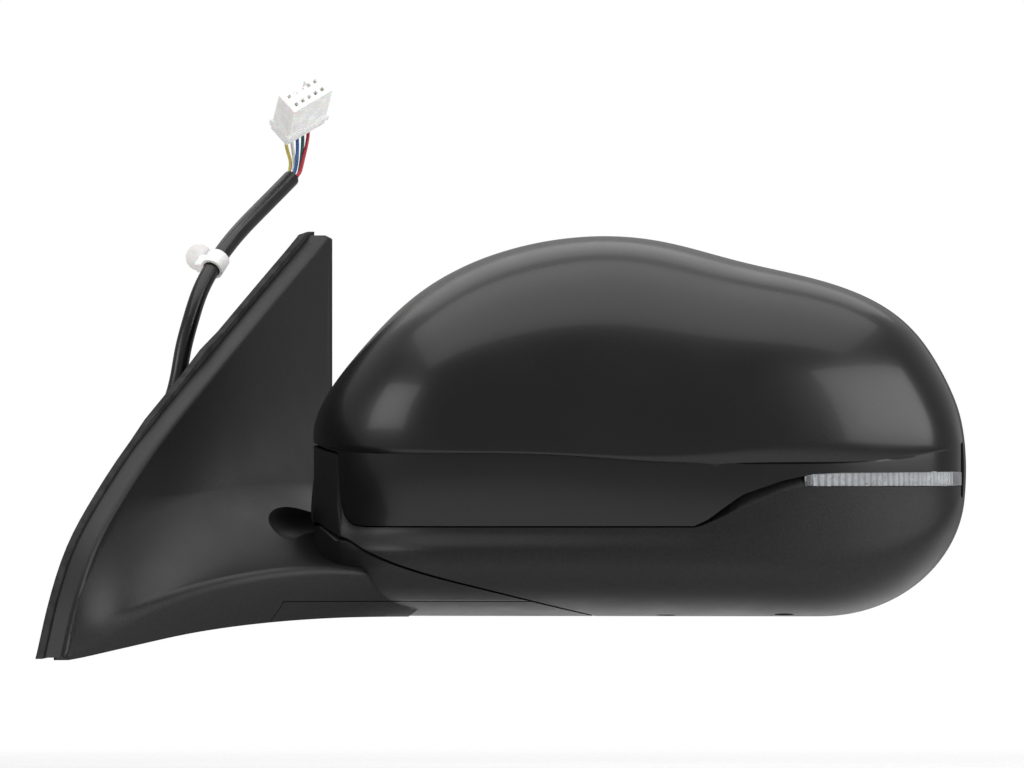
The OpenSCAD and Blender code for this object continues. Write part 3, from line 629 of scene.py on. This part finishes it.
def tube(name, points, radius, sides=20):
    """A round tube along points, its section turning with the path."""
    points = np.array(points, float)
    rings, side = [], unit([0.7, -0.5, 0.5])
    angles = [2 * math.pi * k / sides for k in range(sides)]
    for i, p in enumerate(points):
        t = unit(points[min(i + 1, len(points) - 1)] - points[max(i - 1, 0)])
        n = unit(np.cross(t, side))
        b = np.cross(t, n)
        rings.append([p + radius * (n * math.cos(a) + b * math.sin(a)) for a in angles])
    return loft(name, rings, sharp=50)


def make_wires():
    """Five bare wires from the sleeve's end to the plug, in two rows."""
    row = unit(PLUG_L - END_WAY * (PLUG_L @ END_WAY))
    up = np.cross(END_WAY, row)
    wires = []
    for k, (colour, rgb) in enumerate(WIRES.items()):
        place = k - (len(WIRES) - 1) // 2
        start = SLEEVE_END + row * place * WIRE_GAP + up * (
            -ROW_HALF if k % 2 == 0 else ROW_HALF
        )
        end = PLUG_FOOT + PLUG_L * place * PIN_GAP
        net = [
            start + END_WAY * 1.5, start + END_WAY * 4,
            start + END_WAY * 7 + np.array([0, -1, 3]),
            end - PLUG_U * 7 + np.array([0, 2, -3]), end - PLUG_U * 3, end - PLUG_U * 1.5,
        ]
        route = np.concatenate([[start], spline(net, np.linspace(0, 1, 40)), [end]])
        wire = tube("wire_" + colour, route, WIRE_R, 14)
        paint = coloured_plastic("wire_paint_" + colour, rgb, (0.28, 0.4))
        wires.append(finish_piece(wire, "base", "wires", "harness_wires", paint=paint))
    return wires


def make_harness():
    path = spline(SLEEVE_NET, np.linspace(0, 1, 90))
    path = np.concatenate([[SLEEVE_START], path, [SLEEVE_END]])
    sleeve = tube("harness_sleeving", path, SLEEVE_R)
    finish_piece(sleeve, "base", "sleeve", "harness_sleeve")
    wires = make_wires()
    plug = refined("lead_connector", "harness_connector", 0.35)
    finish_piece(plug, "base", "white_plastic", "harness_connector")
    clip = refined("sleeve_clip", "harness_clip", 0.25)
    finish_piece(clip, "base", "white_plastic", "harness_clip")


def refined(name, node, width, angle=32):
    """A copy of a CAD node with its flat faces joined and its edges rounded."""
    o = new_object(name, frame["nodes"][node].data.copy())
    if "custom_normal" in o.data.attributes:
        o.data.attributes.remove(o.data.attributes["custom_normal"])
    bm = bmesh.new()
    bm.from_mesh(o.data)
    bmesh.ops.remove_doubles(bm, verts=bm.verts, dist=2e-6)
    bmesh.ops.dissolve_limit(
        bm, angle_limit=math.radians(1), verts=bm.verts, edges=bm.edges
    )
    bm.to_mesh(o.data)
    bm.free()
    bevel = o.modifiers.new("edges", "BEVEL")
    bevel.width = width * MM
    bevel.segments = 3
    bevel.limit_method = "ANGLE"
    bevel.angle_limit = math.radians(angle)
    bevel.harden_normals = False
    bpy.context.view_layer.update()
    shape = bpy.data.meshes.new_from_object(
        o.evaluated_get(bpy.context.evaluated_depsgraph_get())
    )
    o.modifiers.clear()
    o.data = shape
    smooth(o, 30)
    return o


make_harness()


# ---- head shells -----------------------------------------------------------------------
COVER_SCREW_US = (112, 158)
COVER_SCREW_Y = 4
SCREW_HOLE_R, SCREW_HOLE_TOP = 3.8, -32


def make_cap():
    cap = rows(HEAD_US, [cap_section(u, z, 30, 14) for u, z in TOPS])
    finish_piece(skin("cap_shell", cap, shrunk(cap), 26), "head", "gloss_black", "upper_cap")


def make_lower_cover():
    cover = skin("lower_shell", COVER_ROWS, shrunk(COVER_ROWS))
    tools = [below_parting(PARTING / 2)]
    tools[0].matrix_world = HEAD
    for u in COVER_SCREW_US:
        place = HEAD @ Matrix.Translation(Vector((u, COVER_SCREW_Y, 0)) * MM)
        profile = [
            (0, FLOOR_Z - 1), (SCREW_HOLE_R, FLOOR_Z - 1),
            (SCREW_HOLE_R, SCREW_HOLE_TOP), (0, SCREW_HOLE_TOP),
        ]
        tools.append(revolved("screw_hole", profile, 48, place))
    boolean(cover, tools, "DIFFERENCE")
    smooth(cover, 26)
    finish_piece(cover, "head", "grained_black", "lower_cover")


make_cap()
make_lower_cover()


# ---- bezel and glass -------------------------------------------------------------------
GLASS_MID = np.array([112.0, 33.0])
GLASS_HALF, GLASS_DROP = 102, 60
BEZEL_Y = 36
RIM_Y = 26.2
BEZEL_RIM = 8  # the bezel's least width over the opening and over the parting


def power(v):
    return math.copysign(abs(v) ** 0.6, v)


def low_edge(u):
    return cone_z(math.hypot(u, BEZEL_Y)) + PARTING / 2 + BEZEL_RIM


def glass_outline(n):
    """The bezel's opening, as n points (u, z)."""
    points = []
    for i in range(n):
        a = 2 * math.pi * i / n
        x, y = power(math.cos(a)), power(math.sin(a))
        u = GLASS_MID[0] + GLASS_HALF * x
        if y > 0:
            reach = float(lookup(u, TOPS)) - BEZEL_RIM - GLASS_MID[1]
        else:
            reach = min(GLASS_DROP, GLASS_MID[1] - low_edge(u))
        points.append((u, GLASS_MID[1] + y * reach))
    return np.array(points)


def around(outline, angles):
    """Where rays from the glass's middle meet a closed outline."""
    d = outline - GLASS_MID
    a = np.unwrap(np.arctan2(d[:, 1], d[:, 0]))
    if a[-1] < a[0]:
        a, d = a[::-1], d[::-1]
    r = np.linalg.norm(d, axis=1)
    a, r = np.concatenate([a - 2 * math.pi, a, a + 2 * math.pi]), np.tile(r, 3)
    order = np.argsort(a, kind="stable")
    reach = np.interp(angles, a[order], r[order])
    return GLASS_MID + np.stack([np.cos(angles), np.sin(angles)], 1) * reach[:, None]


def make_bezel():
    angles = np.linspace(-math.pi, math.pi, 360, endpoint=False)
    rim = np.concatenate([TOPS, [(u, bottom_z(u)) for u in HEAD_US[::-1]]])
    outer, inner = around(rim, angles), around(glass_outline(360), angles)
    span = np.linalg.norm(outer - inner, axis=1)
    out = (outer - GLASS_MID) / np.linalg.norm(outer - GLASS_MID, axis=1)[:, None]
    # (distance in from the rim in mm, share of the way to the opening, y)
    profile = [
        (0, 0, RIM_Y), (0, 0, 31), (0.25, 0, 33), (0.9, 0, 34.6), (2.0, 0, 35.6),
        (3.4, 0, BEZEL_Y), (0, 0.86, BEZEL_Y), (0, 0.95, 35.4), (0, 1, 34), (0, 1, RIM_Y),
    ]
    rings = []
    for i in range(len(angles)):
        ring = []
        for inset, share, y in profile:
            d = min(inset, 0.4 * span[i]) + share * span[i]
            p = outer[i] - out[i] * d
            ring.append((p[0], y, p[1]))
        rings.append(ring)
    n, m = len(rings), len(profile)
    faces = []
    for i in range(n):
        for j in range(m):
            a, b, k = i * m, ((i + 1) % n) * m, (j + 1) % m
            faces.append([a + j, b + j, b + k, a + k])
    bezel = mesh_from("bezel_ring", np.array(rings).reshape(-1, 3), faces, HEAD)
    cutter = below_parting(PARTING / 2)
    cutter.matrix_world = HEAD
    block = seat_trim()
    block.matrix_world = HEAD
    boolean(bezel, [cutter, block], "DIFFERENCE")
    smooth(bezel, 30)
    finish_piece(bezel, "head", "grained_black", "glass_bezel")


def make_glass():
    glass = refined("silvered_glass", "mirror_glass", 0.5, 40)
    finish_piece(glass, "glass", "mirror", "mirror_glass")


make_bezel()
make_glass()


# ---- turn signal -----------------------------------------------------------------------
LENS_FROM, LENS_TO = 171, U1 - 0.15
LENS_GAP = 0.12  # under the cap's edge
RIBS_FROM, RIBS_TO = LENS_FROM + 1, 221
STRIP_STEPS, STEPS_PER_RIB = 120, 4


def strip(start, end, low, below_cap, drawn_in, ribs=0.0):
    """A grid along the front face, from `low` to just below the cap's edge, with ribs in y."""
    grid = []
    for i in range(STRIP_STEPS + 1):
        u = mix(start, end, 1 - (1 - i / STRIP_STEPS) ** 1.6)
        wave = ribs * abs(((i / STEPS_PER_RIB) % 1) - 0.5) * 2
        top = float(lookup(u, CAP_EDGE)) - below_cap
        zs = [mix(top, low, j / 6) for j in range(7)]
        grid.append([(u, drawn_in + wave - float(face_w(u, z)), z) for z in zs])
    return np.array(grid)


def make_lens():
    inner_gap = LENS_GAP + 0.2
    lens = skin(
        "lens_strip", strip(LENS_FROM, LENS_TO, 13.4, LENS_GAP, 0.2),
        strip(LENS_FROM, LENS_TO, 13.6, inner_gap, 2.2),
    )
    finish_piece(lens, "head", "clear_lens", "turn_signal_lens")
    ribs = skin(
        "reflector_ribs", strip(RIBS_FROM, RIBS_TO, 13.6, inner_gap, 4.6, 0.9),
        strip(RIBS_FROM, RIBS_TO, 13.6, inner_gap, 6.4), 12,
    )
    finish_piece(ribs, "head", "silvering", "turn_signal_reflector")


make_lens()


# ---- sail and arm ----------------------------------------------------------------------
SAIL_X = 12
GASKET_T = 3
SAIL_EDGE_NET = [
    (30, 110), (20, 103.5), (-7, 87.5), (-33, 71.5), (-72, 48), (-105, 27), (-126, 10),
    (-140, -2), (-151, -14), (-161, -31), (-167, -45), (-170, -52),
]
SAIL_BOTTOM = [(-150, -50.5), (-116, -47.5), (-80, -42), (-28, -37.7), (34, FLOOR_Z)]
CREASE_LINE = [
    (-166, -48), (-162, -33), (-151, -19), (-130, -7), (-102, 3), (-72, 9.5), (-42, 13),
    (-12, 14), (30, 14),
]
RIDGE_LINE = [
    (9, -160, -50), (13, -154, -45), (19, -146, -39), (28, -133, -31), (40, -117, -24),
    (54, -98, -19), (68, -76, -16.5), (84, -57, -18), (98, -38, -24),
]
BOTTOM_LINE = [-53, -52, -50, -47, -43, -40, -38, FLOOR_Z, FLOOR_Z]
SAG_END = 0.85  # the arm's upper side stops growing hollower here
RIDGE_R = 4.5
ARM_X = 5  # the arm starts inside the slab
RING_HOLE_R = 19.1
UNDER_Z, UNDER_FLOOR = -31, -70
UNDER_GAP = 0.15
SAIL_EDGE_R = 2.2
FOOT_ROWS = 100  # of the head's rows, those that the foot is cut from


def sail_outline():
    edge = spline(SAIL_EDGE_NET, np.linspace(0, 1, 160))
    return np.concatenate([[(34, 109)], edge, SAIL_BOTTOM])


def drawn_outline(outline, d):
    """A closed outline moved in by d, its corners kept sharp."""
    before = outline - np.roll(outline, 1, 0)
    after = np.roll(outline, -1, 0) - outline
    before /= np.linalg.norm(before, axis=1)[:, None]
    after /= np.linalg.norm(after, axis=1)[:, None]
    half = before + after
    half /= np.linalg.norm(half, axis=1)[:, None]
    normal = np.stack([-half[:, 1], half[:, 0]], 1)
    stretch = 1 / np.maximum(np.sum(half * after, axis=1), 0.4)
    return outline + normal * (d * stretch)[:, None]


def sail_slab():
    """The triangular slab, its outer edge rounded."""
    outline = sail_outline()
    rings = [[(GASKET_T, y, z) for y, z in drawn_outline(outline, 0)]]
    for k in range(9):
        a = math.radians(90 * k / 8)
        d = SAIL_EDGE_R * (1 - math.cos(a))
        x = SAIL_X - SAIL_EDGE_R * (1 - math.sin(a))
        rings.append([(x, y, z) for y, z in drawn_outline(outline, d)])
    return loft("sail_shell", rings)


def arm_ring(a):
    """One closed ring of the arm at share a of its length, its lower ridge rounded."""
    c, r = spline(CREASE_LINE, a), spline(RIDGE_LINE, a)
    bottom = float(spline(BOTTOM_LINE, a))
    r[2] = max(r[2], bottom + 1)
    f = np.array([SAIL_X, c[0], c[1]])
    g = np.array([ARM_X + (r[0] - ARM_X) * 0.84, mix(r[1], c[0], 0.1), bottom])
    hollow = 1 + 1.3 * min(a, SAG_END)

    def upper(t):
        return np.array([mix(f[0], r[0], t), mix(f[1], r[1], t),
                         mix(r[2], f[2], (1 - t) ** hollow)])

    def lower(t):
        return np.array([mix(r[0], g[0], t * t), mix(r[1], g[1], t * t), mix(r[2], g[2], t)])

    up = 1 - min(0.4, RIDGE_R / max(np.linalg.norm(r - f), 1))
    down = min(0.4, RIDGE_R / max(np.linalg.norm(g - r), 1))
    points = [np.array([ARM_X, c[0], f[2]])]
    points += [upper(t) for t in np.linspace(0, up, 26)]
    for t in np.linspace(0, 1, 9)[1:-1]:
        points.append((1 - t) ** 2 * upper(up) + 2 * t * (1 - t) * r + t * t * lower(down))
    points += [lower(t) for t in np.linspace(down, 1, 10)]
    return points + [np.array([ARM_X, c[0], bottom])]


def foot():
    """The part of the head's form that stays with the arm, under the parting."""
    body = loft("foot", COVER_RINGS[:FOOT_ROWS], HEAD)
    space = below_parting(-PARTING / 2)
    space.matrix_world = HEAD
    return boolean(body, [space], "INTERSECT")


def base_solid():
    slab = sail_slab()
    arm = loft("arm", [arm_ring(a) for a in np.linspace(0, 1, 120)])
    boolean(slab, [arm], "UNION")
    boolean(slab, [foot()], "UNION")
    hole = revolved("hole", [(0, -10), (RING_HOLE_R, -10), (RING_HOLE_R, 20), (0, 20)],
                    place=Matrix.Translation(PIVOT))
    space = seat_space(PARTING / 2 + 0.1)
    space.matrix_world = Matrix.Translation(PIVOT)
    boolean(slab, [space, hole], "DIFFERENCE")
    return slab


def under_region(gap):
    """The space of the cover under the arm, drawn in by gap."""
    low = np.array([SAIL_X + 1 + gap, -84 + gap])
    high = low + np.array([160, 140])
    outline = [tuple(low), (high[0], low[1]), tuple(high), (low[0], high[1])]
    return extruded("under", outline, UNDER_FLOOR, UNDER_Z - gap)


def make_sail():
    sail = base_solid()
    under = new_object("arm_under_shell", sail.data.copy())
    boolean(sail, [under_region(-UNDER_GAP)], "DIFFERENCE")
    boolean(under, [under_region(UNDER_GAP)], "INTERSECT")
    for o, node in ((sail, "sail_cover"), (under, "arm_under_cover")):
        smooth(o, 28)
        finish_piece(o, "base", "grained_black", node)


make_sail()


# ---- small parts with rounded edges ----------------------------------------------------
def make_small_parts():
    # (piece, CAD node, body, edge width in mm)
    parts = (
        ("foam_gasket", "door_gasket", "base", 0.6),
        ("mounting_studs", "door_studs", "base", 0.4),
        ("lead_grommet", "harness_grommet", "base", 0.5),
        ("clip_screws", "cover_clip_screws", "base", 0.3),
        ("shell_screws", "cover_screws", "head", 0.3),
    )
    slots = {row["node"]: row["material_slot"] for row in frame["record"]["subparts"]}
    for name, node, body, width in parts:
        finish_piece(refined(name, node, width), body, slots[node], node)


make_small_parts()


# ---- the nodes that stay ---------------------------------------------------------------
def paint_nodes():
    for row in frame["record"]["subparts"]:
        o = frame["nodes"][row["node"]]
        paint = MATERIALS[row["material_slot"]]
        if not o.material_slots:
            o.data.materials.append(paint)
        for s in o.material_slots:
            s.material = paint


paint_nodes()


# ---- floor, light and world ------------------------------------------------------------
FLOOR_R = 0.85
WORLD_LIGHT = 0.38
FLOOR_DROP = 0.045  # below the object, outside the main picture


def make_floor():
    """A pale disc that fades out with distance, so that no horizon shows."""
    mesh = bpy.data.meshes.new("floor")
    turns = [2 * math.pi * k / 96 for k in range(96)]
    rim = [(FLOOR_R * math.cos(a), FLOOR_R * math.sin(a), 0) for a in turns]
    mesh.from_pydata(rim, [], [list(range(96))])
    floor = new_object("floor", mesh)
    floor.location = (0.08, 0, cad_box[0][2] - FLOOR_DROP)
    m, tree, shader = material("pale_floor", Base_Color=grey(0.85), Roughness=0.9,
                               Specular_IOR_Level=0.1)
    coords = tree.nodes.new("ShaderNodeTexCoord")
    length = tree.nodes.new("ShaderNodeVectorMath")
    length.operation = "LENGTH"
    fade = tree.nodes.new("ShaderNodeMapRange")
    fade.interpolation_type = "SMOOTHSTEP"
    fade.inputs["From Min"].default_value = 0.2
    fade.inputs["From Max"].default_value = FLOOR_R * 0.97
    fade.inputs["To Min"].default_value = 1.0
    fade.inputs["To Max"].default_value = 0.0
    tree.links.new(coords.outputs["Object"], length.inputs[0])
    tree.links.new(length.outputs["Value"], fade.inputs["Value"])
    tree.links.new(fade.outputs["Result"], shader.inputs["Alpha"])
    floor.data.materials.append(m)


def area_light(name, across, towards, up, size, power_w):
    """A soft white light at an offset from the aim point, in the camera's directions."""
    data = bpy.data.lights.new(name, "AREA")
    data.shape = "RECTANGLE"
    data.size, data.size_y = size
    data.energy = power_w
    light = new_object(name, data)
    offset = TOWARDS * towards + RIGHT * across + Vector((0, 0, up))
    light.location = AIM + offset
    light.rotation_euler = offset.to_track_quat("Z", "Y").to_euler()
    light.visible_camera = False


def make_light():
    area_light("key", 0, 0.05, 1.15, (1.9, 1.3), 12.5)
    area_light("left_fill", -1.1, 0.45, 0.45, (0.7, 0.6), 4)
    area_light("right_fill", 1.0, 0.55, 0.35, (1.0, 0.8), 9)
    area_light("back", 0, -1.0, 0.9, (1.4, 0.6), 2.5)


def make_world():
    """White where the camera sees it, and a dim even light for everything else."""
    world = bpy.data.worlds.new("studio")
    bpy.context.scene.world = world
    world.use_nodes = True
    tree = world.node_tree
    nodes, links = tree.nodes, tree.links
    nodes.clear()
    out = nodes.new("ShaderNodeOutputWorld")
    blend = nodes.new("ShaderNodeMixShader")
    ray = nodes.new("ShaderNodeLightPath")
    seen, light = nodes.new("ShaderNodeBackground"), nodes.new("ShaderNodeBackground")
    seen.inputs["Color"].default_value = grey(1.0)
    light.inputs["Color"].default_value = grey(1.0)
    light.inputs["Strength"].default_value = WORLD_LIGHT
    links.new(ray.outputs["Is Camera Ray"], blend.inputs[0])
    links.new(light.outputs[0], blend.inputs[1])
    links.new(seen.outputs[0], blend.inputs[2])
    links.new(blend.outputs[0], out.inputs["Surface"])


make_floor()
make_light()
make_world()
bpy.context.scene.view_settings.view_transform = "Standard"
